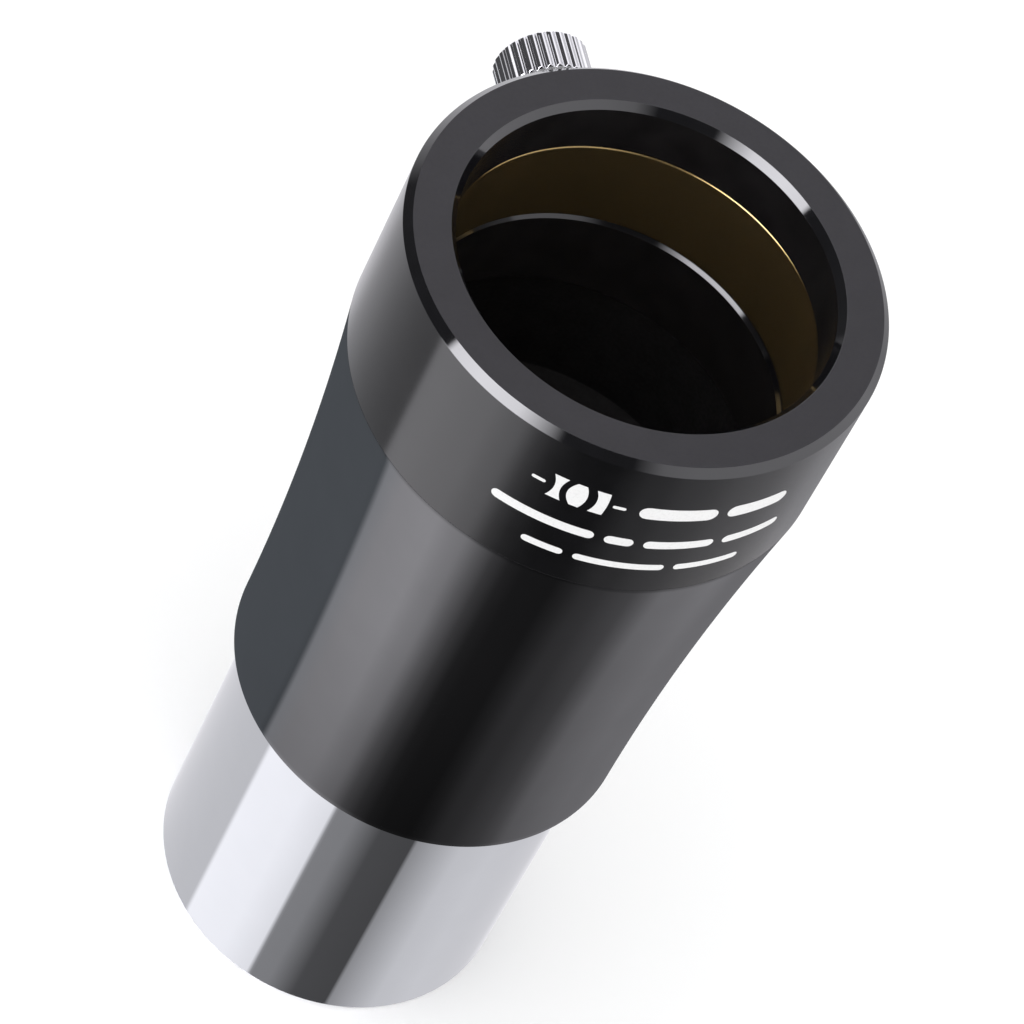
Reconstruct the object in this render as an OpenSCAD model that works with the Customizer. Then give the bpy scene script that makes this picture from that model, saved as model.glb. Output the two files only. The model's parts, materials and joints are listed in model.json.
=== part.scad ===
// Three-element 5x amplifier (Barlow) lens for 1.25 inch telescope fittings.
// Frame: the origin is on the optical axis, in the plane where the plated nosepiece
// meets the body. +Z runs along the axis towards the eyepiece opening, and the
// thumbscrew stands out along +Y. All sizes are in millimetres.

/* [Nosepiece] */
// Outside diameter of the plated barrel that enters the focuser
nose_d = 31.7; // [31.6:0.05:31.75]
// Length of barrel that shows below the body
nose_len = 30.7; // [29:0.1:34]
// Chamfer round the barrel's open end
nose_chamfer = 0.3; // [0.1:0.1:0.6]
// Diameter of the spigot that screws into the body
nose_spigot_d = 29.0; // [28.8:0.1:29.4]
// Length of that spigot
nose_spigot_len = 8.0; // [6:0.5:9]
// Bore through the spigot and the top of the barrel
nose_bore_d = 25.6; // [24:0.2:26]
// Wall diameter of the filter thread in the open end
filter_d = 27.9; // [27.8:0.05:28]
// Depth of the filter thread
filter_len = 5.0; // [4:0.5:5.5]

/* [Body] */
// Height of the flared body, up to its seam with the head
body_h = 43.3; // [40:0.1:46]
// Diameter of the body's lower edge
body_foot_d = 35.4; // [35:0.1:36.4]
// Chamfer round the lower edge
body_chamfer = 0.2; // [0.1:0.1:0.4]
// Diameter of the chamber that clears an eyepiece barrel
chamber_d = 32.2; // [32:0.1:32.6]
// Height of the chamber's floor above the nosepiece seat
chamber_floor = 24.7; // [23:0.1:27]
// Diameter of the light path between the chamber and the nosepiece
light_path_d = 26.8; // [26.4:0.1:27]
// Number of anti-reflection grooves in the light path
groove_count = 5; // [3:1:6]

/* [Head] */
// Outside diameter of the holder head
head_d = 40.5; // [40:0.1:41]
// Height of the head above its seam with the body
head_h = 16.0; // [15.6:0.1:17]
// Bevel on the outer edge of the rim
rim_bevel = 0.65; // [0.3:0.05:1]
// Width of the bevel at the mouth of the socket
mouth_bevel = 0.55; // [0.3:0.05:0.8]
// Diameter of the socket that takes an eyepiece barrel
socket_d = 31.8; // [31.78:0.02:31.9]
// Diameter of the spigot that screws into the body
head_spigot_d = 36.0; // [35.8:0.1:36.2]
// Length of that spigot
head_spigot_len = 7.0; // [5:0.5:8]

/* [Compression ring] */
// Distance from the rim down to the ring's groove
groove_drop = 5.3; // [5:0.1:5.6]
// Height of the groove
groove_h = 9.4; // [9:0.1:9.8]
// Diameter of the groove's floor
groove_d = 35.0; // [34.9:0.1:35.4]
// Inside diameter of the relaxed split ring
ring_id = 32.2; // [32.1:0.02:32.3]
// Wall of the ring
ring_wall = 0.9; // [0.7:0.05:0.95]
// Gap between the ring and each side of its groove
ring_side_gap = 0.2; // [0.15:0.05:0.3]
// Angle left open by the split
ring_split = 9; // [5:1:15]
// How far the screw holds the ring off centre at rest
ring_shift = 0.2; // [0.15:0.05:0.2]

/* [Thumbscrew] */
// Distance from the rim down to the screw's axis
screw_drop = 9.0; // [8.5:0.1:10.5]
// Diameter of the knurled head over its crests
knob_d = 8.0; // [7:0.1:8.5]
// Length of the knurled head
knob_len = 3.7; // [3:0.1:5]
// Distance from the optical axis to the head's inner end
knob_reach = 24.0; // [23.8:0.05:26]
// Number of straight knurl grooves
knurl_count = 30; // [24:2:40]
// Depth of a knurl groove
knurl_depth = 0.28; // [0.15:0.01:0.35]
// Diameter of the plain shoulder under the head
shoulder_d = 5.0; // [4.8:0.1:5.6]
// Length of that shoulder
shoulder_len = 1.4; // [1:0.1:1.8]
// Outside diameter of the threaded stud
stud_d = 3.9; // [3.8:0.02:3.92]
// Distance from the optical axis to the stud's tip at rest
tip_reach = 17.07; // [17.07:0.01:17.2]

/* [Lens cell] */
// Outside diameter of the lens cell
cell_d = 27.1; // [27:0.05:27.1]
// Length of the cell
cell_len = 15.2; // [15.2:0.1:15.6]
// Bore that holds the lenses
cell_bore_d = 20.9; // [20.9:0.02:20.96]
// Clear aperture of the cell's seat
cell_aperture_d = 18.4; // [17:0.2:19]
// Thickness of the seat
cell_seat = 1.2; // [1:0.1:1.2]

/* [Lenses] */
// Diameter of the lenses, the spacer and the retainer
lens_d = 20.8; // [20.7:0.02:20.8]
// Clear diameter of the ground surfaces
lens_clear_d = 19.2; // [18.8:0.1:19.4]
// Radius of curvature of both faces of the singlet
singlet_r = 40; // [38:1:60]
// Edge thickness of the singlet
singlet_edge = 4.0; // [3.8:0.1:4]
// Radius of curvature of the cemented faces in the doublet
cemented_r = 30; // [29:1:40]
// Radius of curvature of the doublet's hollow front face
doublet_front_r = 34; // [33:1:50]
// Radius of curvature of the doublet's hollow rear face
doublet_rear_r = 80; // [70:5:120]
// Edge thickness of the doublet's negative element
negative_edge = 4.2; // [4.1:0.1:4.2]
// Edge thickness of the doublet's positive element
positive_edge = 1.4; // [1.3:0.1:1.4]
// Height of the spacer between the doublet and the singlet
spacer_h = 2.0; // [1.5:0.1:2]
// Height of the ring that retains the lenses
retainer_h = 2.0; // [1.5:0.1:2]

/* [Baffle] */
// Height of the baffle's lower side above the nosepiece seat
baffle_z = 12.0; // [9:0.5:14]
// Diameter of the baffle's aperture
baffle_aperture_d = 21; // [18:0.5:23]

/* [Hidden] */

$fn = 96;                                  // facets of a curve on screen
ARC_FN = 1440;                             // the flare is a short arc of a large circle
THREAD_GAP = 0.05;                         // radial gap between screwed pieces
FIT_GAP = 0.05;                            // radial gap round the stud
EPS = 0.01;                                // overshoot of a cut

rim_z = body_h + head_h;                   // plane of the rim
groove_top = rim_z - groove_drop;
groove_bottom = groove_top - groove_h;
screw_z = rim_z - screw_drop;
mouth_depth = rim_bevel;                   // the two rim bevels are equally deep
land_chamfer = 0.45;                       // edge of the land below the groove
flare_drop = (head_d - body_foot_d) / 2;   // how far the flare spreads
flare_r = (pow(body_h, 2) + pow(flare_drop, 2)) / (2 * flare_drop);

ring_h = groove_h - 2 * ring_side_gap;
ring_chamfer = 0.3;                        // inner edges of the split ring

knob_chamfer = 0.25;
knob_bore_depth = 2.2;                     // how deep the stud sits in the head
stud_hole_d = stud_d + 2 * FIT_GAP;
tip_chamfer = 0.5;

cell_top = nose_spigot_len - 17;           // the cell's seat in the nosepiece
cell_bottom = cell_top - cell_len;
cell_hole_d = cell_d + 2 * THREAD_GAP;
stack_top = cell_top - cell_seat;          // the rear lens rests here
CEMENT = 0.02;                             // thickness of the cement
negative_top = stack_top - positive_edge - CEMENT;
negative_bottom = negative_top - negative_edge;
spacer_bottom = negative_bottom - spacer_h;
singlet_bottom = spacer_bottom - singlet_edge;
spanner_w = 1.2;                           // width of a spanner slot
spanner_depth = 0.9;

baffle_h = 2.5;
baffle_edge = 0.3;                         // thickness at the baffle's aperture
light_groove_depth = 0.4;
light_groove_w = 0.6;
light_groove_pitch = 1.2;

// Depth of a spherical surface of radius r across a half-width w
function sag(r, w) = r - sqrt(r * r - w * w);

// A ring of rectangular section
module plain_ring(outer_d, inner_d, h) {
    difference() {
        cylinder(d = outer_d, h = h);
        translate([0, 0, -EPS])
            cylinder(d = inner_d, h = h + 2 * EPS);
    }
}

// Two opposite slots for a pin spanner, cut upwards from z = 0
module spanner_slots(outer_d) {
    translate([-outer_d, -spanner_w / 2, -EPS])
        cube([2 * outer_d, spanner_w, spanner_depth + EPS]);
}

// Plated barrel with a spigot for the body and a filter thread in its open end
module nosepiece() {
    color([0.80, 0.81, 0.83])
        rotate_extrude()
            polygon([
                [filter_d / 2, -nose_len],
                [nose_d / 2 - nose_chamfer, -nose_len],
                [nose_d / 2, -nose_len + nose_chamfer],
                [nose_d / 2, 0],
                [nose_spigot_d / 2, 0],
                [nose_spigot_d / 2, nose_spigot_len],
                [nose_bore_d / 2, nose_spigot_len],
                [nose_bore_d / 2, cell_top],
                [cell_hole_d / 2, cell_top],
                [cell_hole_d / 2, -nose_len + filter_len],
                [filter_d / 2, -nose_len + filter_len]
            ]);
}

// Blackened cup that carries the three lenses
module lens_cell() {
    color([0.10, 0.10, 0.11])
        translate([0, 0, cell_bottom])
            difference() {
                plain_ring(cell_d, cell_aperture_d, cell_len);
                translate([0, 0, -EPS])
                    cylinder(d = cell_bore_d, h = cell_len - cell_seat + EPS);
                spanner_slots(cell_d);
            }
}

// Positive element, cemented to the top of the middle lens
module rear_lens() {
    edge_bottom = stack_top - positive_edge;
    ball_z = edge_bottom - sag(cemented_r, lens_d / 2) + cemented_r;
    color([0.72, 0.82, 0.80, 0.5])
        difference() {
            intersection() {
                translate([0, 0, edge_bottom - cemented_r / 2])
                    cylinder(d = lens_d, h = cemented_r / 2 + positive_edge);
                translate([0, 0, ball_z])
                    sphere(r = cemented_r);
            }
            translate([0, 0, stack_top - sag(doublet_rear_r, lens_clear_d / 2) + doublet_rear_r])
                sphere(r = doublet_rear_r);
        }
}

// Negative element of the doublet, hollow on both faces
module middle_lens() {
    color([0.70, 0.80, 0.84, 0.5])
        difference() {
            translate([0, 0, negative_bottom])
                cylinder(d = lens_d, h = negative_edge);
            translate([0, 0, negative_top - sag(cemented_r, lens_d / 2) + cemented_r])
                sphere(r = cemented_r);
            translate([0, 0, negative_bottom + sag(doublet_front_r, lens_clear_d / 2) - doublet_front_r])
                sphere(r = doublet_front_r);
        }
}

// Ring that sets the air gap between the doublet and the singlet
module lens_spacer() {
    color([0.12, 0.12, 0.12])
        translate([0, 0, spacer_bottom])
            plain_ring(lens_d, lens_clear_d, spacer_h);
}

// Singlet nearest the telescope, hollow on both faces
module front_lens() {
    color([0.72, 0.82, 0.80, 0.5])
        difference() {
            translate([0, 0, singlet_bottom])
                cylinder(d = lens_d, h = singlet_edge);
            for (side = [-1, 1])
                translate([0, 0, singlet_bottom + singlet_edge / 2
                        + side * (singlet_edge / 2 - sag(singlet_r, lens_clear_d / 2) + singlet_r)])
                    sphere(r = singlet_r);
        }
}

// Screwed ring that holds the lenses against the cell's seat
module lens_retainer() {
    color([0.10, 0.10, 0.11])
        translate([0, 0, singlet_bottom - retainer_h])
            difference() {
                plain_ring(lens_d, cell_aperture_d, retainer_h);
                spanner_slots(lens_d);
            }
}

// Half section of the body: a square with the flare and the bore taken away
module body_section() {
    difference() {
        square([head_d / 2, body_h]);
        translate([body_foot_d / 2 + flare_r, 0])
            circle(r = flare_r, $fn = ARC_FN);
        polygon([
            [body_foot_d / 2 - body_chamfer, -EPS],
            [body_foot_d / 2 + body_chamfer, -EPS],
            [body_foot_d / 2 + body_chamfer, body_chamfer]
        ]);
        body_bore();
        for (i = [0 : groove_count - 1])
            translate([0, baffle_z + baffle_h + light_groove_pitch * (i + 0.5)])
                square([light_path_d / 2 + light_groove_depth, light_groove_w]);
    }
}

// Half section of everything that is bored out of the body
module body_bore() {
    nose_hole = nose_spigot_d / 2 + THREAD_GAP;
    head_hole = head_spigot_d / 2 + THREAD_GAP;
    polygon([
        [0, -EPS],
        [nose_hole, -EPS],
        [nose_hole, nose_spigot_len + 0.5],
        [light_path_d / 2, nose_spigot_len + 0.5],
        [light_path_d / 2, chamber_floor - (chamber_d - light_path_d) / 2],
        [chamber_d / 2, chamber_floor],
        [chamber_d / 2, body_h - head_spigot_len - 0.3],
        [head_hole, body_h - head_spigot_len - 0.3],
        [head_hole, body_h + EPS],
        [0, body_h + EPS]
    ]);
}

// Black body that narrows in one long curve from the head to the nosepiece
module main_body() {
    color([0.09, 0.09, 0.10])
        rotate_extrude()
            body_section();
}

// Knife-edged ring that stops stray light in the body
module light_baffle() {
    baffle_r = light_path_d / 2 - THREAD_GAP;
    color([0.07, 0.07, 0.07])
        translate([0, 0, baffle_z])
            rotate_extrude()
                polygon([
                    [baffle_aperture_d / 2, 0],
                    [baffle_r, 0],
                    [baffle_r, baffle_h],
                    [baffle_r - 1, baffle_h],
                    [baffle_aperture_d / 2, baffle_edge]
                ]);
}

// Half section of the head, from the screwed spigot to the bevelled rim
module head_section() {
    polygon([
        [socket_d / 2, body_h - head_spigot_len],
        [head_spigot_d / 2, body_h - head_spigot_len],
        [head_spigot_d / 2, body_h],
        [head_d / 2, body_h],
        [head_d / 2, rim_z - rim_bevel],
        [head_d / 2 - rim_bevel, rim_z],
        [socket_d / 2 + mouth_bevel, rim_z],
        [socket_d / 2, rim_z - mouth_depth],
        [socket_d / 2, groove_top],
        [groove_d / 2, groove_top],
        [groove_d / 2, groove_bottom],
        [socket_d / 2 + land_chamfer, groove_bottom],
        [socket_d / 2, groove_bottom - land_chamfer]
    ]);
}

// Black head with the eyepiece socket, the ring's groove and the tapped hole
module holder_head() {
    color([0.09, 0.09, 0.10])
        difference() {
            rotate_extrude()
                head_section();
            translate([0, 0, screw_z])
                rotate([-90, 0, 0])
                    cylinder(d = stud_hole_d, h = head_d);
        }
}

// Split brass ring that grips the eyepiece, open opposite the screw
module compression_ring() {
    inner = ring_id / 2;
    outer = inner + ring_wall;
    color([0.72, 0.58, 0.28])
        translate([0, -ring_shift, groove_bottom + ring_side_gap])
            rotate([0, 0, -90 + ring_split / 2])
                rotate_extrude(angle = 360 - ring_split)
                    polygon([
                        [inner + ring_chamfer, 0],
                        [outer, 0],
                        [outer, ring_h],
                        [inner + ring_chamfer, ring_h],
                        [inner, ring_h - ring_chamfer],
                        [inner, ring_chamfer]
                    ]);
}

// Places a child that points up its own Z along the screw's axis, reach from the optical axis
module along_screw(reach) {
    translate([0, reach, screw_z])
        rotate([-90, 0, 0])
            children();
}

// Steel stud that runs in the tapped hole and bears on the ring
module thumbscrew_stud() {
    stud_len = knob_reach - tip_reach + knob_bore_depth;
    color([0.70, 0.70, 0.72])
        along_screw(tip_reach)
            union() {
                cylinder(d1 = stud_d - 2 * tip_chamfer, d2 = stud_d, h = tip_chamfer);
                translate([0, 0, tip_chamfer])
                    cylinder(d = stud_d, h = stud_len - tip_chamfer);
            }
}

// Outline of the straight knurl: a flat crest and a flat root for each groove
module knurl_outline() {
    step = 360 / knurl_count;
    crest = knob_d / 2;
    root = crest - knurl_depth;
    polygon([
        for (i = [0 : knurl_count - 1])
            for (corner = [[crest, 0], [crest, 0.45], [root, 0.65], [root, 0.8]])
                let (a = (i + corner[1]) * step)
                    [corner[0] * cos(a), corner[0] * sin(a)]
    ]);
}

// Bright knurled head with a plain shoulder and a blind bore for the stud
module thumbscrew_head() {
    color([0.82, 0.82, 0.84])
        along_screw(knob_reach)
            difference() {
                union() {
                    intersection() {
                        linear_extrude(knob_len)
                            knurl_outline();
                        rotate_extrude()
                            polygon([
                                [0, 0],
                                [knob_d / 2 - knob_chamfer, 0],
                                [knob_d / 2, knob_chamfer],
                                [knob_d / 2, knob_len - knob_chamfer],
                                [knob_d / 2 - knob_chamfer, knob_len],
                                [0, knob_len]
                            ]);
                    }
                    translate([0, 0, -shoulder_len])
                        cylinder(d = shoulder_d, h = shoulder_len + EPS);
                }
                translate([0, 0, -shoulder_len - EPS])
                    cylinder(d = stud_hole_d, h = shoulder_len + knob_bore_depth + 2 * FIT_GAP);
            }
}

nosepiece();
lens_cell();
rear_lens();
middle_lens();
lens_spacer();
front_lens();
lens_retainer();
main_body();
light_baffle();
holder_head();
compression_ring();
thumbscrew_stud();
thumbscrew_head();
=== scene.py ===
import json
import math

import bpy
from mathutils import Matrix, Vector


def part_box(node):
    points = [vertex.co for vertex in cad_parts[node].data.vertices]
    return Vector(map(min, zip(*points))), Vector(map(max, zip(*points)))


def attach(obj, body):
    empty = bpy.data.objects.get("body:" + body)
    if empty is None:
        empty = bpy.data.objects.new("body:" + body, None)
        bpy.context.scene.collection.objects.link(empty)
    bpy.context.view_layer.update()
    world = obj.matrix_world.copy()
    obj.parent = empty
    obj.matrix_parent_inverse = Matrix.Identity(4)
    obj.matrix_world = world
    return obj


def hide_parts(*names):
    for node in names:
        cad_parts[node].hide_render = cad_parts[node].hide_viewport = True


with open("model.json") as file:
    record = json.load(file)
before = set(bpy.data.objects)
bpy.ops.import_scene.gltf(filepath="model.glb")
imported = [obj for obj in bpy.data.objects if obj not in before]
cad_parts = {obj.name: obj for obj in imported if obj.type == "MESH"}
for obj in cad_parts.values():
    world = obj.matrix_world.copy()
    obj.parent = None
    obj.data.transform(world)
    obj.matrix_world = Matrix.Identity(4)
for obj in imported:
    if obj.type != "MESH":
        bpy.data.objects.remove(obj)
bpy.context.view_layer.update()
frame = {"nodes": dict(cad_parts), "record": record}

scene = bpy.context.scene
MM = 0.001
TAU = 2 * math.pi


# ---------------------------------------------------------------- sizes, in millimetres
def corner(node, side, axis):
    """One coordinate of a CAD node's box, in millimetres: side 0 is the low corner."""
    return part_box(node)[side][axis] / MM


MOUNTS = {m["name"]: m for m in frame["record"]["mounts"]}
SOCKET_R = MOUNTS["eyepiece_socket"]["dims"]["r_mm"]
NOSE_R = MOUNTS["nosepiece"]["dims"]["r_mm"]
FILTER_R = MOUNTS["filter_thread"]["dims"]["r_mm"]

INK_DEPTH = 0.015                       # the black shell lies this far inside the CAD wall
HEAD_R = corner("holder_head", 1, 0) - INK_DEPTH
RIM_Z = corner("holder_head", 1, 2)
HEAD_FOOT = corner("holder_head", 0, 2)
SEAM_Z = corner("main_body", 1, 2)
NOSE_FOOT = corner("nosepiece", 0, 2)
SCREW_Z = (corner("thumbscrew_head", 0, 2) + corner("thumbscrew_head", 1, 2)) / 2
RING_LOW = corner("compression_ring", 0, 2)
RING_HIGH = corner("compression_ring", 1, 2)
STUD_TIP = corner("thumbscrew_stud", 0, 1)
STUD_END = corner("thumbscrew_stud", 1, 1)
KNOB_SHOULDER = corner("thumbscrew_head", 0, 1)
KNOB_END = corner("thumbscrew_head", 1, 1)
KNOB_R = corner("thumbscrew_head", 1, 0)

# sizes that the boxes and the record don't give
FOOT_R = 17.7                           # the flared body's lower edge
BEVEL = 0.65                            # height of the bevels on the head's rim
MOUTH_BEVEL = 0.55                      # width of the bevel at the mouth of the socket
GROOVE_R, GROOVE_ROOM = 17.5, 0.2       # the ring's groove, and its room over and under the ring
GROOVE_LIP = 0.30                       # chamfer under the groove
HEAD_SPIGOT_R, HEAD_SEAT_R, HEAD_SEAT_Z = 18.0, 18.05, 36.0
CHAMBER_R, CHAMBER_CONE = 16.1, (22.0, 24.7)    # the cone leads down to the light path
LIGHT_PATH_R = 13.4
BAFFLE_GROOVES, BAFFLE_Z, BAFFLE_PITCH = 5, 14.5, 1.2
NOSE_SEAT_R, NOSE_SEAT_DEPTH = 14.55, 8.5
NOSE_SPIGOT_R, NOSE_SPIGOT = 14.5, 8.0
NOSE_BORE_R, CELL_BORE_R, CELL_TOP, CELL_RISE = 12.8, 13.6, -9.0, 5.0
FILTER_MAJOR_R, FILTER_PITCH = 14.25, 0.6
RING_IN_R, RING_OUT_R, RING_SPLIT, RING_SHIFT = 16.1, 17.0, 9.0, -0.2
HOLE_R = 2.0                            # the screw's hole
STUD_CREST, STUD_ROOT, STUD_PITCH = 1.95, 1.52, 0.7
SHOULDER_R, SHOULDER = 2.5, 1.4         # plain shoulder under the knurled head
KNOB_BORE_R, KNOB_BORE_DEPTH = 2.0, 2.3
LENS_R, LENS_CLEAR_R = 10.4, 9.6


# ---------------------------------------------------------------- mesh tools
SHARP = 0.80                            # cosine of the turn from which an edge stays sharp


def rounded(corners, closed=True, pieces=4):
    """Turns (r, z, fillet, tag) corners into (r, z, tag, arc) points. The tag and the arc flag
    belong to the stretch that follows the point."""
    out = []
    count = len(corners)
    for i, (r, z, fillet, tag) in enumerate(corners):
        here = Vector((r, z))
        before = corners[i - 1]
        after = corners[(i + 1) % count]
        if fillet <= 0 or (not closed and i in (0, count - 1)):
            out.append((r, z, tag, False))
            continue
        u = (Vector(before[:2]) - here).normalized()
        v = (Vector(after[:2]) - here).normalized()
        half = math.acos(max(-1, min(1, u.dot(v)))) / 2
        run = min(fillet / math.tan(half), 0.45 * (Vector(before[:2]) - here).length,
                  0.45 * (Vector(after[:2]) - here).length)
        radius = run * math.tan(half)
        centre = here + (u + v).normalized() * (radius / math.sin(half))
        start = here + u * run - centre
        end = here + v * run - centre
        turn = math.atan2(start.x * end.y - start.y * end.x, start.dot(end))
        for k in range(pieces + 1):
            p = centre + Matrix.Rotation(turn * k / pieces, 2) @ start
            out.append((p.x, p.y, tag, k < pieces))
    return out


def outline_normals(points, closed):
    """A normal for each end of each stretch. Flat stretches keep theirs, and arcs blend into
    them."""
    count = len(points)
    last = count if closed else count - 1
    flat = []
    for i in range(last):
        a, b = points[i], points[(i + 1) % count]
        d = Vector((b[0] - a[0], b[1] - a[1]))
        flat.append(Vector((d.y, -d.x)).normalized())

    def at(i, mine):
        """Normal at point i, as the stretch called mine sees it."""
        pair = [(i - 1) % count, i % count] if closed else [i - 1, i]
        if pair[0] < 0 or pair[1] >= last:
            return flat[mine]
        a, b = flat[pair[0]], flat[pair[1]]
        if a.dot(b) < SHARP:
            return flat[mine]
        arcs = [points[k][3] for k in pair]
        if arcs[0] and not arcs[1]:
            return b
        if arcs[1] and not arcs[0]:
            return a
        return (a + b).normalized()

    return [(at(i, i), at(i + 1, i)) for i in range(last)]


def make_object(name, verts, faces, normals, materials, indices=None):
    """Makes a smooth mesh object from vertices in millimetres."""
    mesh = bpy.data.meshes.new(name)
    mesh.from_pydata([tuple(c * MM for c in v) for v in verts], [], faces)
    for m in materials:
        mesh.materials.append(m)
    if indices is not None:
        mesh.polygons.foreach_set("material_index", indices)
    mesh.polygons.foreach_set("use_smooth", [True] * len(mesh.polygons))
    mesh.normals_split_custom_set([tuple(n) for n in normals])
    mesh.validate(clean_customdata=False)
    mesh.update()
    obj = bpy.data.objects.new(name, mesh)
    scene.collection.objects.link(obj)
    return obj


class Lathe:
    """Collects faces of a turned piece, with exact normals. Points that fall together are one."""

    def __init__(self, steps=360):
        self.steps = steps
        self.verts = []
        self.known = {}
        self.faces = []
        self.normals = []
        self.marks = []

    def spot(self, x, y, z):
        key = (round(x, 5), round(y, 5), round(z, 5))
        if key not in self.known:
            self.known[key] = len(self.verts)
            self.verts.append((x, y, z))
        return self.known[key]

    def point(self, r, z, angle):
        return self.spot(r * math.cos(angle), r * math.sin(angle), z)

    def face(self, corners, normals, mark):
        self.faces.append(tuple(corners))
        self.normals.extend(normals)
        self.marks.append(mark)

    def turn(self, points, closed=True, start=0.0, sweep=TAU, skip=None):
        """Turns the outline round Z, and closes the ends if the sweep isn't whole.
        skip(stretch, column) leaves faces out. Returns the grid of vertex numbers, one row a
        point."""
        whole = abs(sweep - TAU) < 1e-9
        columns = self.steps if whole else max(8, round(self.steps * sweep / TAU))
        angles = [start + sweep * k / columns for k in range(columns + (0 if whole else 1))]
        grid = []
        for r, z, _, _ in points:
            if r < 1e-6:
                grid.append([self.point(0, z, 0)] * len(angles))
            else:
                grid.append([self.point(r, z, a) for a in angles])
        for i, (na, nb) in enumerate(outline_normals(points, closed)):
            j = (i + 1) % len(points)
            for k in range(columns):
                if skip and skip(i, k):
                    continue
                m = (k + 1) % len(angles)
                loop = [(i, k, na), (i, m, na), (j, m, nb), (j, k, nb)]
                ids, ns = [], []
                for row, col, n in loop:
                    v = grid[row][col]
                    if v in ids:
                        continue
                    ids.append(v)
                    a = angles[col]
                    ns.append((n.x * math.cos(a), n.x * math.sin(a), n.y))
                self.face(ids, ns, points[i][2])
        if not whole:
            for col, flip in ((0, False), (columns, True)):
                a = angles[col]
                ids = [row[col] for row in grid]
                side = 1 if flip else -1
                n = (-math.sin(a) * side, math.cos(a) * side, 0)
                self.face(ids[::-1] if flip else ids, [n] * len(ids), points[0][2])
        return grid

    def build(self, name, matrix=Matrix()):
        """Makes the object. Normals that were left as zero are worked out by Blender."""
        tags = sorted(set(self.marks))
        spin = matrix.to_3x3()
        return make_object(name, [matrix @ Vector(v) for v in self.verts], self.faces,
                           [spin @ Vector(n) for n in self.normals],
                           [MATERIALS[t] for t in tags], [tags.index(m) for m in self.marks])


def add_thread(lathe, r_plain, r_far, z0, z1, pitch, tag, outward, rows=10):
    """Adds a helical wall from z0 to z1, which starts at r_plain and cuts to r_far. outward is 1
    for a male thread and -1 for a female one, and rows is the number of rows a turn."""
    steps = lathe.steps
    count = math.ceil(((z1 - z0) / pitch + 1) * rows) + 1
    fade = 0.5 * pitch                      # the thread runs out over this height at each end

    def vertex(row, k):
        if k == steps:
            row, k = row + rows, 0
        z = max(z0, min(z1, z0 + (row / rows + k / steps - 1) * pitch))
        # a flat crest, a flank, a narrow root and a flank
        phase = (row % rows) / rows
        depth = max(0.0, min(1.0, (0.5 - abs(phase - 0.5)) / 0.5 * 1.35 - 0.12))
        edge = max(0.0, min(1.0, min(z - z0, z1 - z) / fade))
        return lathe.point(r_plain + (r_far - r_plain) * depth * edge, z, TAU * k / steps)

    for row in range(count - 1):
        for k in range(steps):
            ring = []
            for v in (vertex(row, k), vertex(row, k + 1),
                      vertex(row + 1, k + 1), vertex(row + 1, k)):
                if v not in ring:
                    ring.append(v)
            if len(ring) > 2:
                lathe.face(ring[::outward], [(0, 0, 0)] * len(ring), tag)


# ---------------------------------------------------------------- materials
class Nodes:
    """A short way to write a Principled material with procedural detail. Noise scales are per
    metre."""

    def __init__(self, name, color, metallic=0.0, roughness=0.3, ior=1.5, **sockets):
        self.mat = bpy.data.materials.new(name)
        self.mat.use_nodes = True
        self.tree = self.mat.node_tree
        self.shader = self.tree.nodes["Principled BSDF"]
        self.shader.inputs["Base Color"].default_value = (*color, 1)
        self.shader.inputs["Metallic"].default_value = metallic
        self.shader.inputs["Roughness"].default_value = roughness
        self.shader.inputs["IOR"].default_value = ior
        for key, value in sockets.items():
            self.shader.inputs[key.replace("_", " ")].default_value = value
        coords = self.tree.nodes.new("ShaderNodeTexCoord")
        self.place = coords.outputs["Object"]

    def node(self, kind, **values):
        n = self.tree.nodes.new(kind)
        for key, value in values.items():
            setattr(n, key, value)
        return n

    def link(self, a, b):
        self.tree.links.new(a, b)

    def stretch(self, scale):
        m = self.node("ShaderNodeMapping")
        m.inputs["Scale"].default_value = scale
        self.link(self.place, m.inputs["Vector"])
        return m.outputs["Vector"]

    def noise(self, scale, detail=2.0, stretch=None, rough=0.5):
        n = self.node("ShaderNodeTexNoise")
        n.inputs["Scale"].default_value = scale
        n.inputs["Detail"].default_value = detail
        n.inputs["Roughness"].default_value = rough
        self.link(self.stretch(stretch) if stretch else self.place, n.inputs["Vector"])
        return n.outputs["Fac"]

    def remap(self, value, low, high, a=0.3, b=0.7):
        n = self.node("ShaderNodeMapRange")
        n.inputs["From Min"].default_value = a
        n.inputs["From Max"].default_value = b
        n.inputs["To Min"].default_value = low
        n.inputs["To Max"].default_value = high
        self.link(value, n.inputs["Value"])
        return n.outputs["Result"]

    def vary_color(self, value, one, two, a=0.3, b=0.7):
        n = self.node("ShaderNodeValToRGB")
        n.color_ramp.elements[0].position = a
        n.color_ramp.elements[0].color = (*one, 1)
        n.color_ramp.elements[1].position = b
        n.color_ramp.elements[1].color = (*two, 1)
        self.link(value, n.inputs["Fac"])
        self.link(n.outputs["Color"], self.shader.inputs["Base Color"])

    def vary_roughness(self, value, low, high):
        self.link(self.remap(value, low, high), self.shader.inputs["Roughness"])

    def bump(self, value, microns):
        n = self.node("ShaderNodeBump")
        n.inputs["Distance"].default_value = microns * 1e-6
        n.inputs["Strength"].default_value = 1.0
        self.link(value, n.inputs["Height"])
        self.link(n.outputs["Normal"], self.shader.inputs["Normal"])


def scaled(color, k):
    return tuple(c * k for c in color)


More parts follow.
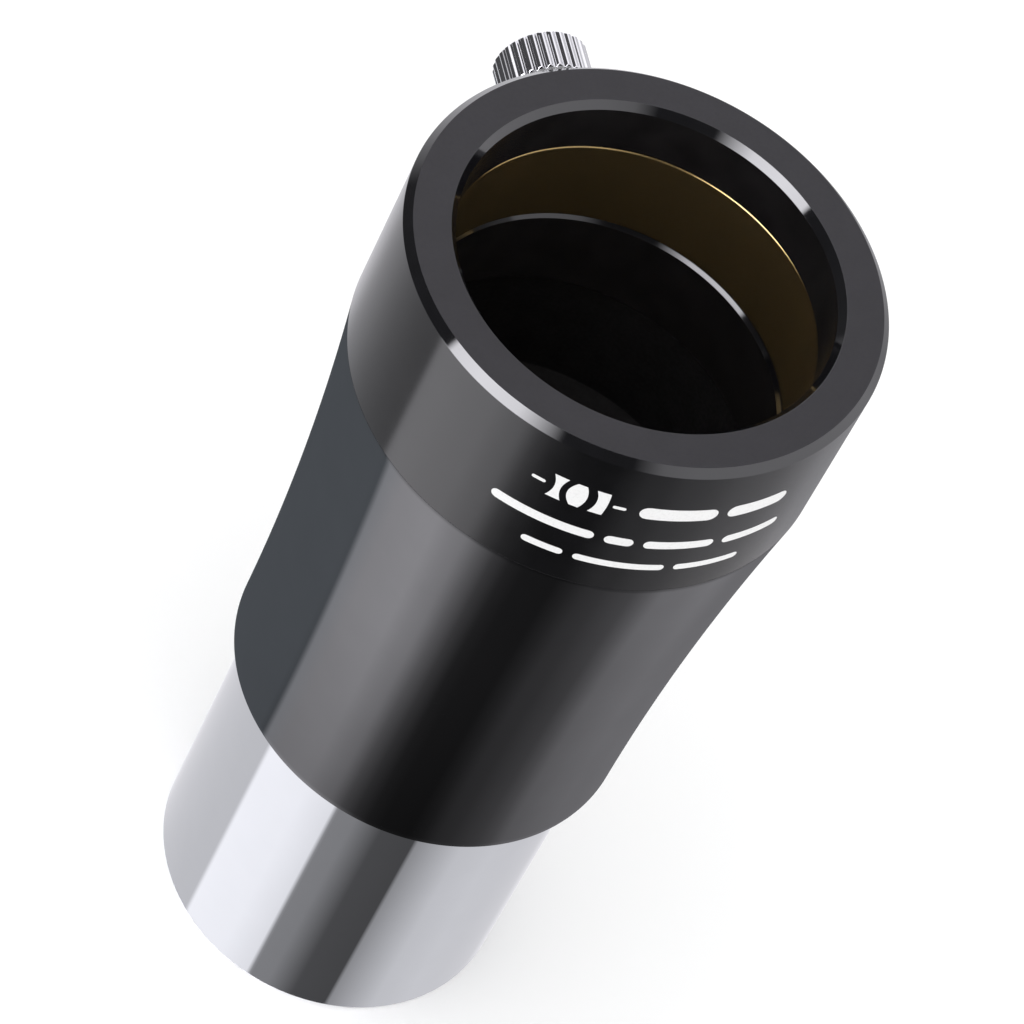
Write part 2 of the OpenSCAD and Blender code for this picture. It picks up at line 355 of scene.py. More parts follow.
def anodised(name, color, roughness, ior, grain, swing=0.25):
    """Black anodised aluminium: a fine etched grain, in microns, with slow changes of tone."""
    m = Nodes(name, color, roughness=roughness, ior=ior)
    m.vary_color(m.noise(420, 3), scaled(color, 1 - swing), scaled(color, 1 + swing))
    m.vary_roughness(m.noise(2600, 2), roughness * 0.88, roughness * 1.12)
    m.bump(m.noise(9000, 2), grain)
    return m.mat


def turned(name, color, roughness, lines, pitch=9000, swing=0.05):
    """Turned metal: fine rings round the axis, lines microns deep, and a slow change of tone."""
    m = Nodes(name, color, metallic=1.0, roughness=roughness)
    m.vary_color(m.noise(300, 3), scaled(color, 1 - swing), scaled(color, 1 + swing))
    rings = m.noise(1.0, 2, stretch=(60, 60, pitch))
    m.vary_roughness(rings, roughness * 0.8, roughness * 1.25)
    m.bump(rings, lines)
    return m.mat


def speckled(name, color, roughness, grain, metallic=1.0, specks=0.10, wander=0.09):
    """Plated or turned metal with a slow change of tone and small, sparse specks. wander is the
    change of roughness."""
    m = Nodes(name, color, metallic=metallic, roughness=roughness)
    dots = m.remap(m.noise(3600, 2, rough=0.6), 0.0, specks, 0.66, 0.74)
    both = m.node("ShaderNodeMath", operation="ADD")
    m.link(dots, both.inputs[0])
    m.link(m.remap(m.noise(260, 2), 0.40, 0.60), both.inputs[1])
    m.vary_color(both.outputs[0], scaled(color, 0.90), scaled(color, 1.25), 0.35, 0.85)
    m.vary_roughness(m.noise(700, 2), roughness * (1 - wander), roughness * (1 + wander))
    m.bump(m.noise(5200, 3), grain)
    return m.mat


def lacquered(name, color, roughness):
    """Deep gloss black on polished aluminium. It mirrors the same share at every angle, with a
    fine haze and very long, shallow turning marks."""
    m = Nodes(name, color)
    m.tree.nodes.remove(m.shader)
    m.shader = m.node("ShaderNodeBsdfAnisotropic", distribution="GGX")
    m.link(m.shader.outputs["BSDF"], m.tree.nodes["Material Output"].inputs["Surface"])
    ramp = m.node("ShaderNodeValToRGB")
    for e, share, position in zip(ramp.color_ramp.elements, (0.985, 1.015), (0.3, 0.7)):
        e.position = position
        e.color = (*scaled(color, share), 1)
    m.link(m.noise(260, 3), ramp.inputs["Fac"])
    m.link(ramp.outputs["Color"], m.shader.inputs["Color"])
    rings = m.noise(1.0, 2, stretch=(40, 40, 6000))
    m.vary_roughness(rings, roughness * 0.8, roughness * 1.2)
    m.bump(rings, 0.004)
    return m.mat


HEAD_BLACK = (0.0035, 0.0035, 0.0040)
MATERIALS = {
    "wall": anodised("head_satin_black", HEAD_BLACK, 0.10, 1.5, 0.05),
    "rim": anodised("head_rim_black", (0.0125, 0.0115, 0.0145), 0.46, 1.5, 0.9, 0.12),
    "bevel": anodised("head_cut_bevel", (0.004, 0.004, 0.005), 0.05, 2.0, 0.03),
    "bore": anodised("socket_black", (0.013, 0.012, 0.0125), 0.20, 1.5, 0.1),
    "lip": anodised("socket_lip", (0.004, 0.004, 0.005), 0.07, 1.75, 0.03),
    "inside": anodised("inner_matte_black", (0.009, 0.0085, 0.009), 0.75, 1.25, 2.0),
    "body": lacquered("body_gloss_black", (0.083, 0.086, 0.093), 0.045),
    "chrome": turned("nose_plating", (0.675, 0.69, 0.705), 0.0025, 0.002, pitch=14000,
                     swing=0.008),
    "screw": speckled("screw_plating", (0.84, 0.84, 0.86), 0.085, 0.35, specks=0.25),
    "face": speckled("screw_face_matte", (0.66, 0.66, 0.68), 0.50, 0.5, 0.25, specks=0.15),
    "stud": turned("stud_steel", (0.60, 0.60, 0.62), 0.22, 0.2),
    "brass": speckled("ring_brass", (0.58, 0.42, 0.19), 0.262, 0.02, 0.945, 0.06, 0.025),
}


def ink():
    """Screen printing: matt, slightly rough and a little uneven in tone."""
    m = Nodes("marking_ink", (0.83, 0.83, 0.83), roughness=0.45)
    m.vary_color(m.noise(5200, 3), (0.76, 0.76, 0.76), (0.86, 0.86, 0.86), 0.25, 0.5)
    m.bump(m.noise(7000, 2), 2.0)
    return m.mat


def coated_glass(name, ior, tint, reflex):
    """Clear glass with a faint coloured reflex from its coating."""
    m = Nodes(name, tint, roughness=0.0, ior=ior, Transmission_Weight=1.0,
              Specular_IOR_Level=0.35, Specular_Tint=(*reflex, 1))
    m.vary_color(m.noise(120, 1), scaled(tint, 0.985), tint)
    return m.mat


# ---------------------------------------------------------------- holder head
def holder_head():
    """The head. Both walls leave a window open at +Y, which rings of faces close round the
    screw's hole."""
    steps = 360
    half = 8                                  # columns on each side of +Y
    middle = steps // 4
    window = 2.8                              # half height of the window
    rows = [SCREW_Z + window * (k / 4 - 1) for k in range(9)]
    groove_low, groove_high = RING_LOW - GROOVE_ROOM, RING_HIGH + GROOVE_ROOM
    corners = [
        (SOCKET_R, HEAD_FOOT, 0.08, "bore"),
        (HEAD_SPIGOT_R, HEAD_FOOT, 0.12, "inside"),
        (HEAD_SPIGOT_R, SEAM_Z, 0.0, "inside"),
        (HEAD_R, SEAM_Z, 0.025, "wall"),
    ]
    corners += [(HEAD_R, z, 0.0, "wall") for z in rows]
    corners += [
        (HEAD_R, RIM_Z - BEVEL, 0.03, "bevel"),
        (HEAD_R - BEVEL, RIM_Z, 0.03, "rim"),
        (SOCKET_R + MOUTH_BEVEL, RIM_Z, 0.03, "bevel"),
        (SOCKET_R, RIM_Z - BEVEL, 0.03, "bore"),
        (SOCKET_R, groove_high, 0.04, "bore"),
        (GROOVE_R, groove_high, 0.05, "bore"),
    ]
    corners += [(GROOVE_R, z, 0.0, "bore") for z in reversed(rows)]
    corners += [
        (GROOVE_R, groove_low, 0.05, "bore"),
        (SOCKET_R + GROOVE_LIP, groove_low, 0.03, "lip"),
        (SOCKET_R, groove_low - GROOVE_LIP, 0.03, "bore"),
    ]
    points = rounded(corners)
    lathe = Lathe(steps)

    def stretches(radius):
        return [i for i, p in enumerate(points)
                if abs(p[0] - radius) < 1e-6 and any(abs(p[1] - z) < 1e-6 for z in rows)]

    outer, inner = stretches(HEAD_R), stretches(GROOVE_R)
    gaps = set(outer[:-1]) | set(inner[:-1])

    def skip(i, k):
        return i in gaps and middle - half <= k < middle + half

    grid = lathe.turn(points, skip=skip)
    columns = list(range(middle - half, middle + half + 1))
    heads = []                                # direction of each spoke from the hole's axis
    rims = []
    for radius, wall, sign, lip in ((HEAD_R, outer, 1, 0.15), (GROOVE_R, inner, -1, 0.10)):
        order = sorted(wall, key=lambda i: points[i][1])
        edge = [(order[0], c) for c in columns]
        edge += [(row, columns[-1]) for row in order[1:]]
        edge += [(order[-1], c) for c in reversed(columns[:-1])]
        edge += [(row, columns[0]) for row in reversed(order[1:-1])]
        rings = [[grid[row][col] for row, col in edge], [], [], []]
        if not heads:
            heads = [math.atan2(lathe.verts[v][2] - SCREW_Z, lathe.verts[v][0]) for v in rings[0]]
        for v, t in zip(rings[0], heads):
            x, _, z = lathe.verts[v]
            lip_x, lip_z = (HOLE_R + lip) * math.cos(t), SCREW_Z + (HOLE_R + lip) * math.sin(t)
            for share, ring in ((0.5, rings[1]), (1.0, rings[2])):
                px, pz = x + (lip_x - x) * share, z + (lip_z - z) * share
                ring.append(lathe.spot(px, math.sqrt(radius ** 2 - px ** 2), pz))
            px, pz = HOLE_R * math.cos(t), SCREW_Z + HOLE_R * math.sin(t)
            rings[3].append(lathe.spot(px, math.sqrt(radius ** 2 - px ** 2) - sign * lip, pz))
        for deep, (a, b) in enumerate(zip(rings, rings[1:])):
            for k, t in enumerate(heads):
                m = (k + 1) % len(heads)
                ids = [a[k], a[m], b[m], b[k]]
                if deep < 2:
                    ns = [Vector((*lathe.verts[v][:2], 0)).normalized() * sign for v in ids]
                    tag = "wall" if sign > 0 else "bore"
                else:
                    ns = [Vector((-math.cos(h), sign, -math.sin(h))).normalized()
                          for h in (t, heads[m], heads[m], t)]
                    tag = "bevel"
                lathe.face(ids[::sign], ns[::sign], tag)
        rims.append(rings[3])
    for k, t in enumerate(heads):
        m = (k + 1) % len(heads)
        lathe.face([rims[0][k], rims[0][m], rims[1][m], rims[1][k]],
                   [Vector((-math.cos(h), 0, -math.sin(h)))
                    for h in (t, heads[m], heads[m], t)], "bore")
    return lathe.build("head_shell")


# ---------------------------------------------------------------- body and nosepiece
def body_shell():
    """The flared body. Its outline is one arc, upright at the foot."""
    drop = HEAD_R - FOOT_R
    arc_r = (SEAM_Z ** 2 + drop ** 2) / (2 * drop)
    chamfer = 0.2
    flare = []
    count = 72
    for k in range(count + 1):
        z = chamfer + (SEAM_Z - chamfer) * k / count
        r = FOOT_R + arc_r - math.sqrt(arc_r ** 2 - z ** 2)
        flare.append((r, z, 0.025 if k in (0, count) else 0.0, "body" if k < count else "inside"))
    corners = [(NOSE_SEAT_R, 0.0, 0.05, "body"), (FOOT_R - chamfer, 0.0, 0.03, "body")]
    corners += flare
    corners += [
        (HEAD_SEAT_R, SEAM_Z, 0.05, "inside"),
        (HEAD_SEAT_R, HEAD_SEAT_Z, 0.05, "inside"),
        (CHAMBER_R, HEAD_SEAT_Z, 0.08, "inside"),
        (CHAMBER_R, CHAMBER_CONE[1], 0.2, "inside"),
        (LIGHT_PATH_R, CHAMBER_CONE[0], 0.1, "inside"),
    ]
    for i in reversed(range(BAFFLE_GROOVES)):
        z = BAFFLE_Z + BAFFLE_PITCH * (i + 0.5)
        corners += [
            (LIGHT_PATH_R, z + 0.6, 0.04, "inside"),
            (LIGHT_PATH_R + 0.4, z + 0.45, 0.04, "inside"),
            (LIGHT_PATH_R + 0.4, z + 0.15, 0.04, "inside"),
            (LIGHT_PATH_R, z, 0.04, "inside"),
        ]
    corners += [(LIGHT_PATH_R, NOSE_SEAT_DEPTH, 0.1, "inside"),
                (NOSE_SEAT_R, NOSE_SEAT_DEPTH, 0.05, "inside")]
    # the flare's straight stretches are short arcs of one curve, so their normals blend
    points = [(r, z, tag, arc or (tag == "body" and r > FOOT_R - 1e-9))
              for r, z, tag, arc in rounded(corners)]
    lathe = Lathe()
    lathe.turn(points)
    return lathe.build("body_shell")


def nose_barrel():
    """The plated barrel, with the filter thread in its open end and its spigot in the body."""
    cell_low = NOSE_FOOT + CELL_RISE
    chamfer = 0.3
    lathe = Lathe()
    lathe.turn(rounded([
        (FILTER_R, NOSE_FOOT + chamfer, 0.0, "chrome"),
        (FILTER_MAJOR_R, NOSE_FOOT, 0.03, "chrome"),
        (NOSE_R - chamfer, NOSE_FOOT, 0.06, "chrome"),
        (NOSE_R, NOSE_FOOT + chamfer, 0.08, "chrome"),
        (NOSE_R, 0.0, 0.03, "inside"),
        (NOSE_SPIGOT_R, 0.0, 0.0, "inside"),
        (NOSE_SPIGOT_R, NOSE_SPIGOT, 0.2, "inside"),
        (NOSE_BORE_R, NOSE_SPIGOT, 0.15, "inside"),
        (NOSE_BORE_R, CELL_TOP, 0.1, "inside"),
        (CELL_BORE_R, CELL_TOP, 0.05, "inside"),
        (CELL_BORE_R, cell_low, 0.05, "inside"),
        (FILTER_R, cell_low, 0.0, "inside"),
    ], closed=False), closed=False)
    add_thread(lathe, FILTER_R, FILTER_MAJOR_R, NOSE_FOOT + chamfer, cell_low, FILTER_PITCH,
               "chrome", -1)
    return lathe.build("nose_barrel")


# ---------------------------------------------------------------- clamping ring and screw
def clamp_ring():
    """The brass ring, split at -Y, which the screw holds a little off centre at rest."""
    soft = 0.16
    gap = math.radians(RING_SPLIT)
    lathe = Lathe()
    lathe.turn(rounded([
        (RING_IN_R + soft, RING_LOW, 0.06, "brass"),
        (RING_OUT_R, RING_LOW, 0.10, "brass"),
        (RING_OUT_R, RING_HIGH, 0.10, "brass"),
        (RING_IN_R, RING_HIGH, soft, "brass"),
        (RING_IN_R, RING_LOW + soft, 0.06, "brass"),
    ]), start=-math.pi / 2 + gap / 2, sweep=TAU - gap)
    return lathe.build("clamp_ring", Matrix.Translation((0, RING_SHIFT, 0)))


SCREW_AXIS = Matrix.Translation((0, 0, SCREW_Z)) @ Matrix.Rotation(-math.pi / 2, 4, "X")


def threaded_stud():
    """The screw's stud, with a chamfered tip. Made along Z and then laid along the screw."""
    thread_low, thread_high = STUD_TIP + 0.5, STUD_END - 0.3
    lathe = Lathe(96)
    lathe.turn(rounded([
        (0.0, STUD_TIP, 0.0, "stud"),
        (STUD_CREST - 0.5, STUD_TIP, 0.08, "stud"),
        (STUD_CREST, thread_low, 0.0, "stud"),
    ], closed=False), closed=False)
    lathe.turn(rounded([
        (STUD_CREST, thread_high, 0.0, "stud"),
        (STUD_CREST, STUD_END, 0.05, "stud"),
        (0.0, STUD_END, 0.0, "stud"),
    ], closed=False), closed=False)
    add_thread(lathe, STUD_CREST, STUD_ROOT, thread_low, thread_high, STUD_PITCH, "stud", 1,
               rows=14)
    return lathe.build("threaded_stud", SCREW_AXIS)


def knurled_knob():
    """Straight-knurled head: 30 grooves between rounded teeth, cut off by chamfers. Heights
    are distances from the optical axis."""
    low = KNOB_SHOULDER + SHOULDER
    bore_end = low + KNOB_BORE_DEPTH
    grooves, depth, crown = 30, 0.27, 0.10      # crown is how much of the depth the crest bends
    soft_low, soft_high = 0.14, 0.22            # chamfers at the two ends
    # shares of one step round: the crest's end, the root's start and end, and all columns
    crest, root_start, root_end = 0.34, 0.64, 0.71
    shares = (0.0, 0.085, 0.17, 0.255, 0.34, 0.42, 0.49, 0.56, 0.64, 0.71, 0.78, 0.85, 0.93)
    lathe = Lathe(grooves * len(shares))
    rise = [0.0, 0.05, 0.10, 0.14, 0.18, 0.22, 0.26, 0.31, 0.40]
    heights = [low + h for h in rise] + [(low + KNOB_END) / 2]
    heights += [KNOB_END - h for h in reversed(rise)]

    def cut(share):
        """How deep the surface lies at this share of a step, from 0 to 1."""
        if share <= crest:
            return crown * (2 * share / crest - 1) ** 2
        edge = min(1.0, (share - crest) / (root_start - crest), (1.0 - share) / (1.0 - root_end))
        return crown + (1 - crown) * (0.5 - 0.5 * math.cos(math.pi * edge))

    def radius(k, z):
        knurl = KNOB_R - depth * cut(shares[k % len(shares)])
        return min(knurl, KNOB_R - soft_low + z - low, KNOB_R - soft_high + KNOB_END - z)

    def angle(k):
        return TAU * (k // len(shares) + shares[k % len(shares)]) / grooves

    steps = lathe.steps
    rows = [[lathe.point(SHOULDER_R + 0.15, low, angle(k)) for k in range(steps)]]
    rows += [[lathe.point(radius(k, z), z, angle(k)) for k in range(steps)] for z in heights]
    rows += [[lathe.point(r, KNOB_END, angle(k)) for k in range(steps)] for r in (3.2, 1.6)]
    for i, (a, b) in enumerate(zip(rows, rows[1:])):
        for k in range(steps):
            m = (k + 1) % steps
            ids = [a[k], a[m], b[m], b[k]]
            lathe.face(ids, [(0, 0, 0)] * 4, "screw" if i else "face")
    centre = lathe.spot(0, 0, KNOB_END)
    for k in range(steps):
        lathe.face([rows[-1][k], rows[-1][(k + 1) % steps], centre], [(0, 0, 1)] * 3, "screw")

    # the bore and the shoulder: a turned stretch that shares the knurl's columns
    points = rounded([
        (0.0, bore_end, 0.0, "screw"),
        (KNOB_BORE_R, bore_end, 0.05, "screw"),
        (KNOB_BORE_R, KNOB_SHOULDER, 0.05, "screw"),
        (SHOULDER_R, KNOB_SHOULDER, 0.10, "screw"),
        (SHOULDER_R, low, 0.15, "screw"),
        (SHOULDER_R + 0.15, low, 0.0, "screw"),
    ], closed=False)
    grid = [[lathe.point(r, z, angle(k)) for k in range(steps)] for r, z, _, _ in points]
    for i, (na, nb) in enumerate(outline_normals(points, False)):
        for k in range(steps):
            m = (k + 1) % steps
            ids, ns = [], []
            for v, col, n in ((grid[i][k], k, na), (grid[i][m], m, na),
                              (grid[i + 1][m], m, nb), (grid[i + 1][k], k, nb)):
                if v not in ids:
                    ids.append(v)
                    ns.append((n.x * math.cos(angle(col)), n.x * math.sin(angle(col)), n.y))
            lathe.face(ids, ns, points[i][2])
    return lathe.build("knurled_knob", SCREW_AXIS)


# ---------------------------------------------------------------- lenses
def lens_surface(bend, centre_z, flat_z):
    """Points of one lens surface from the axis outwards. bend is its radius of curvature, and
    is positive where the surface rises outwards. A surface that doesn't reach flat_z at the
    lens's edge stops at the clear radius, inside a flat land."""
    rings = 24

    def height(r):
        return centre_z + math.copysign(abs(bend) - math.sqrt(bend ** 2 - r ** 2), bend)

    full = abs(height(LENS_R) - flat_z) < 0.02
    reach = LENS_R if full else LENS_CLEAR_R
    points = [(reach * k / rings, height(reach * k / rings)) for k in range(rings + 1)]
    return points if full else points + [(LENS_R, flat_z)]


def glass_lens(name, tag, low, high, lower, upper):
    """One lens, between its edge's heights low and high. lower and upper are each a radius of
    curvature and the surface's height on the axis."""
    outline = lens_surface(*lower, low) + lens_surface(*upper, high)[::-1]
    lathe = Lathe(180)
    lathe.turn([(r, z, tag, True) for r, z in outline], closed=False)
    return lathe.build(name)


# ---------------------------------------------------------------- markings
def marking():
    """Thin raised print on the head. It says nothing: three lens outlines and plain bars."""
    low_r, top_r = HEAD_R + 0.001, HEAD_R + 0.012
    heading = math.radians(-95.0)             # azimuth of the print's middle
    verts, faces, normals = [], [], []

    def plate(pairs, z0):
        """A thin plate between two edges. Each pair has an (s, z) point of each edge: s runs
        along the wall from the print's middle, and z up from z0."""
        across = max(1, math.ceil(max(math.dist(*pair) for pair in pairs) / 0.35))
        rows = []
        for (s0, za), (s1, zb) in pairs:
            row = []
            for k in range(across + 1):
                share = k / across
                a = heading + (s0 + (s1 - s0) * share) / HEAD_R
                for r in (low_r, top_r):
                    verts.append((r * math.cos(a), r * math.sin(a), z0 + za + (zb - za) * share))
                    row.append(len(verts) - 1)
            rows.append(row)

        def add(ids, outward=False):
            faces.append(tuple(ids))
            for v in ids:
                x, y, _ = verts[v]
                normals.append((x / top_r, y / top_r, 0) if outward else (0, 0, 0))

        for a, b in zip(rows, rows[1:]):
            for k in range(0, 2 * across, 2):
                add((a[k + 1], b[k + 1], b[k + 3], a[k + 3]), True)
                add((a[k], a[k + 2], b[k + 2], b[k]))
            add((a[0], b[0], b[1], a[1]))
            add((a[-2], a[-1], b[-1], b[-2]))
        first, last = rows[0], rows[-1]
        for k in range(0, 2 * across, 2):
            add((first[k], first[k + 1], first[k + 3], first[k + 2]))
            add((last[k], last[k + 2], last[k + 3], last[k + 1]))

    def bar(s0, s1, z0, height):
        """A bar with round ends."""
        half = height / 2
        turns = [math.radians(a) for a in (8, 25, 45, 65, 90)]
        left = [(s0 + half * (1 - math.cos(t)), half * math.sin(t)) for t in turns]
        right = [(s1 - half * (1 - math.cos(t)), half * math.sin(t)) for t in reversed(turns)]
        pieces = max(1, round((s1 - s0) / 0.5))
        mid = [(left[-1][0] + (right[0][0] - left[-1][0]) * k / pieces, half)
               for k in range(1, pieces)]
        plate([((s, -h), (s, h)) for s, h in left + mid + right], z0)

    def element(s, height, waist, bend_left, bend_right, z0):
        """The outline of a lens seen from the side, filled in."""
        count = 14
        pairs = []
        for k in range(count + 1):
            z = height * (k / count - 0.5)
            share = 1 - (2 * z / height) ** 2
            pairs.append(((s + waist / 2 + bend_right * share, z),
                          (s - waist / 2 - bend_left * share, z)))
        plate(pairs, z0)

    # first row: three lens elements on a broken axis line, and two broad bars
    z = RIM_Z - 5.6
    start = -10.6
    for i, (waist, left, right) in enumerate(((1.25, -0.36, -0.36), (0.75, 0.55, 0.35),
                                              (1.15, -0.35, 0.10))):
        element(start + 1.6 + 1.75 * i, 2.7, waist, left, right, z)
    for s0, s1, height in ((-0.6, 0.6, 0.34), (6.2, 7.3, 0.34),
                           (8.4, 15.0, 1.45), (15.9, 21.6, 1.45)):
        bar(start + s0, start + s1, z, height)
    # second and third rows: plain bars of the length of words
    for depth, height, left, words in ((9.7, 0.95, -13.4, (8.8, 2.4, 6.0, 5.6)),
                                       (12.75, 0.72, -9.7, (3.5, 7.6, 5.9))):
        s = left
        for length in words:
            bar(s, s + length, RIM_Z - depth, height)
            s += length + 0.85
    return make_object("print_marks", verts, faces, normals, [MATERIALS["ink"]])


# ---------------------------------------------------------------- assembly
MATERIALS["ink"] = ink()
MATERIALS["crown"] = coated_glass("crown_glass", 1.52, (0.93, 0.99, 0.95), (0.35, 0.9, 0.6))
MATERIALS["flint"] = coated_glass("flint_glass", 1.62, (0.96, 0.95, 0.99), (0.6, 0.45, 1.0))

# maker, body that it rides on, material slot, and the CAD nodes that it replaces
PIECES = (
    (holder_head, "root", "head_black", ("holder_head",)),
    (marking, "root", "marking_ink", ()),
    (body_shell, "root", "body_black", ("main_body",)),
    (nose_barrel, "root", "nose_plating", ("nosepiece",)),
    (clamp_ring, "ring", "ring_brass", ("compression_ring",)),
    (threaded_stud, "stud", "stud_steel", ("thumbscrew_stud",)),
    (knurled_knob, "knob", "screw_plating", ("thumbscrew_head",)),
)
# CAD node, material, slot, heights of the edge, and (bend, height on the axis) of the surfaces
LENSES = (
    ("rear_lens", "flint", "flint_glass", -11.6, -10.2, (30.0, -13.46), (80.0, -10.778)),
    ("middle_lens", "crown", "crown_glass", -15.82, -11.62, (-34.0, -14.437), (30.0, -13.48)),
    ("front_lens", "crown", "crown_glass", -21.82, -17.82, (-40.0, -20.651), (40.0, -18.989)),
)
for maker, body, slot, nodes in PIECES:
    piece = maker()
    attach(piece, body)
    if nodes:
        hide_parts(*nodes)
for node, tag, slot, low, high, lower, upper in LENSES:
    piece = glass_lens(node + "_glass", tag, low, high, lower, upper)
    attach(piece, "root")
    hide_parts(node)
for node in ("lens_cell", "lens_spacer", "lens_retainer", "light_baffle"):
    for holder in frame["nodes"][node].material_slots:
        holder.material = MATERIALS["inside"]


# ---------------------------------------------------------------- studio
# the camera that was fitted to the photograph: degrees, metres and a lens in millimetres
CAMERA_TURN, CAMERA_RISE, CAMERA_ROLL = -35.5255, 50.03, 28.272
CAMERA_AIM = Vector((-0.000322, 0.000230, 0.024433))
CAMERA_DISTANCE = 0.47239
CAMERA_LENS, CAMERA_SENSOR = 199.03, 36.0
LIGHT_PLACE, LIGHT_AIM = Vector((-0.25, -0.2, 1.1)), Vector((0, 0, 0.02))


def studio_floor():
    """A wide white floor under the nosepiece, which nothing on the object mirrors."""
    z = NOSE_FOOT * MM
    mesh = bpy.data.meshes.new("floor")
    count = 64
    verts = [(0, 0, z)]
    radii = (0.2, 1.0, 6.0)
    for r in radii:
        verts += [(r * math.cos(TAU * k / count), r * math.sin(TAU * k / count), z)
                  for k in range(count)]
    faces = [(0, 1 + k, 1 + (k + 1) % count) for k in range(count)]
    for i in range(len(radii) - 1):
        a = 1 + i * count
        faces += [(a + k, a + count + k, a + count + (k + 1) % count, a + (k + 1) % count)
                  for k in range(count)]
    mesh.from_pydata(verts, [], faces)
    obj = bpy.data.objects.new("floor", mesh)
    scene.collection.objects.link(obj)
    m = Nodes("studio_floor", (0.985, 0.985, 0.985), roughness=0.9, Specular_IOR_Level=0.0)
    m.vary_color(m.noise(3, 2), (0.98, 0.98, 0.98), (0.99, 0.99, 0.99))
    mesh.materials.append(m.mat)
    obj.visible_glossy = False


# strength of the light that the flared body mirrors: side in degrees from the camera's azimuth,
# then strength near the head, half-way down and at the foot
BODY_LIGHT = (
    (-90, 0.80, 0.80, 0.80), (-60, 0.78, 0.78, 0.78), (-38, 0.78, 0.78, 0.72),
    (-35.7, 0.74, 0.74, 0.58), (-33.7, 2.15, 2.15, 1.80), (-28, 2.45, 2.38, 1.75),
    (-20, 2.62, 2.50, 1.85), (-16, 2.62, 2.55, 1.80), (-12, 2.18, 2.15, 1.50),
    (-8, 1.88, 1.88, 1.21), (-4, 1.06, 0.98, 0.53), (0, 0.43, 0.42, 0.24),
    (4, 0.17, 0.14, 0.11), (8, 0.10, 0.10, 0.07), (16, 0.09, 0.09, 0.06),
    (20, 0.17, 0.17, 0.10), (24, 0.29, 0.29, 0.20), (28, 0.37, 0.30, 0.25),
    (36, 0.64, 0.48, 0.44), (40, 1.03, 0.82, 0.60), (44, 1.54, 1.24, 0.95),
    (52, 1.72, 1.48, 1.19), (60, 2.15, 1.66, 1.34), (68, 2.20, 1.66, 1.38),
    (76, 1.75, 1.65, 1.60), (90, 1.70, 1.70, 1.70),
)
COOL_WHITE, WARM_WHITE = (0.945, 1.0, 1.045), (1.05, 1.0, 0.985)
RAMP_SCALE = 8.0                        # colour ramps stop at 1, so they hold an eighth
VIEW_AHEAD = math.cos(math.radians(52))     # direction from the body to the camera
VIEW_UP, SEAM_VIEW_UP = 0.7806, 0.7636


